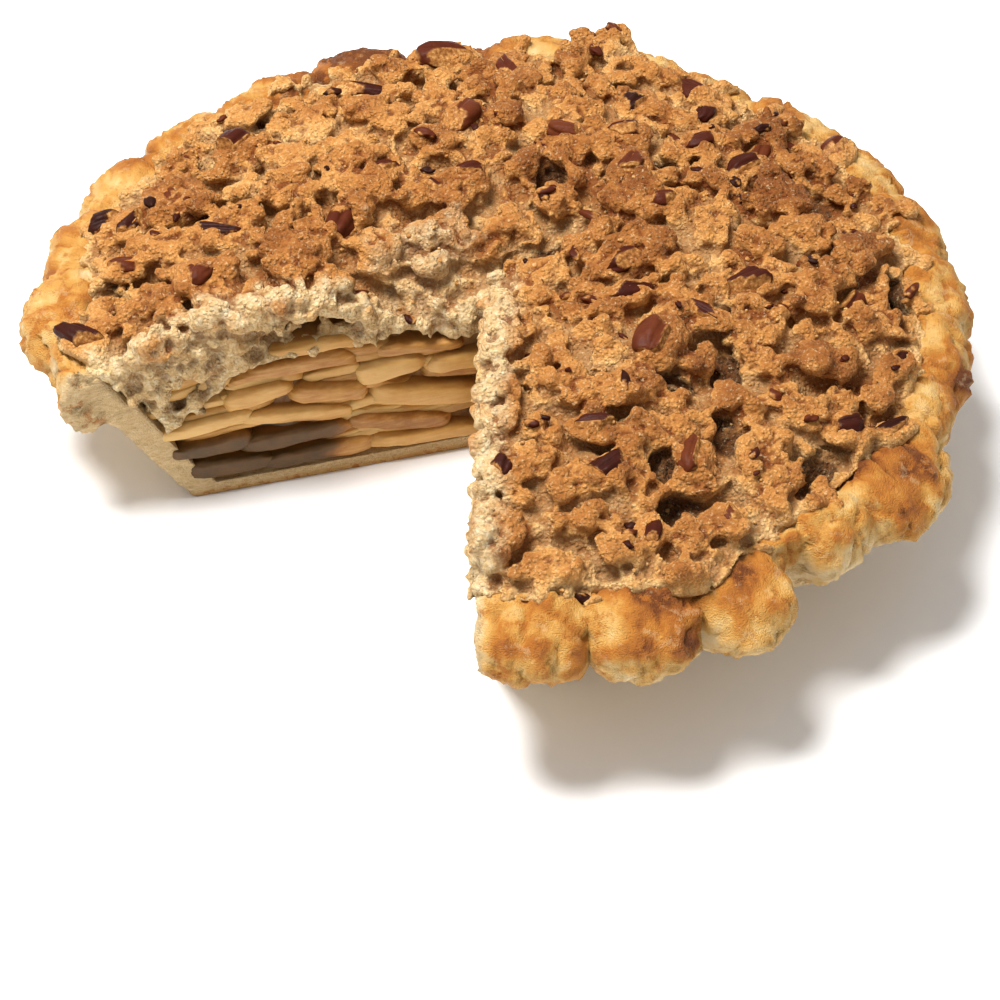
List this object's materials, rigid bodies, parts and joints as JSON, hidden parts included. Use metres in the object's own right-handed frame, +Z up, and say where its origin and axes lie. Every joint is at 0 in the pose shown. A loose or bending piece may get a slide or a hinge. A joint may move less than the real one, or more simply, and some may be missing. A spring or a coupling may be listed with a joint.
{
  "type": "apple crumble pie",
  "caption": "Deep apple pie with a hand-fluted pastry rim, stacked apple slices and a lumpy crumble top studded with chopped pecans, one slice cut out.",
  "frame": {"origin": "on the pie's vertical axis, at the level of the flat base it stands on", "axes": "+Z up; the missing slice lies between the directions 195.5 and 267.5 degrees, counted from +X towards +Y, so its mouth faces -X -Y"},
  "size_m": [0.2797, 0.285, 0.0764],
  "materials": {
    "pastry": "golden baked shortcrust pastry, flaky, browned at the flutes",
    "apple": "soft cooked apple slices, amber and moist",
    "crumble": "rough sugary crumble, golden brown on top and pale cream where broken",
    "pecan": "dark reddish brown roasted pecan, slightly glossy skin"
  },
  "bodies": {
    "root": {"crust": "pastry", "apple_filling": "apple", "crumble": "crumble", "pecan_01": "pecan", "pecan_02": "pecan", "pecan_03": "pecan", "pecan_04": "pecan", "pecan_05": "pecan", "pecan_06": "pecan", "pecan_07": "pecan", "pecan_08": "pecan", "pecan_09": "pecan", "pecan_10": "pecan", "pecan_11": "pecan", "pecan_12": "pecan", "pecan_13": "pecan", "pecan_14": "pecan", "pecan_15": "pecan", "pecan_16": "pecan", "pecan_17": "pecan", "pecan_18": "pecan", "pecan_19": "pecan", "pecan_20": "pecan", "pecan_21": "pecan", "pecan_22": "pecan", "pecan_23": "pecan", "pecan_24": "pecan", "pecan_25": "pecan", "pecan_26": "pecan", "pecan_27": "pecan", "pecan_28": "pecan", "pecan_29": "pecan", "pecan_30": "pecan", "pecan_31": "pecan", "pecan_32": "pecan", "pecan_33": "pecan", "pecan_34": "pecan", "pecan_35": "pecan", "pecan_36": "pecan", "pecan_37": "pecan", "pecan_38": "pecan", "pecan_39": "pecan", "pecan_40": "pecan", "pecan_41": "pecan", "pecan_42": "pecan", "pecan_43": "pecan", "pecan_44": "pecan", "pecan_45": "pecan"}
  },
  "joints": []
}
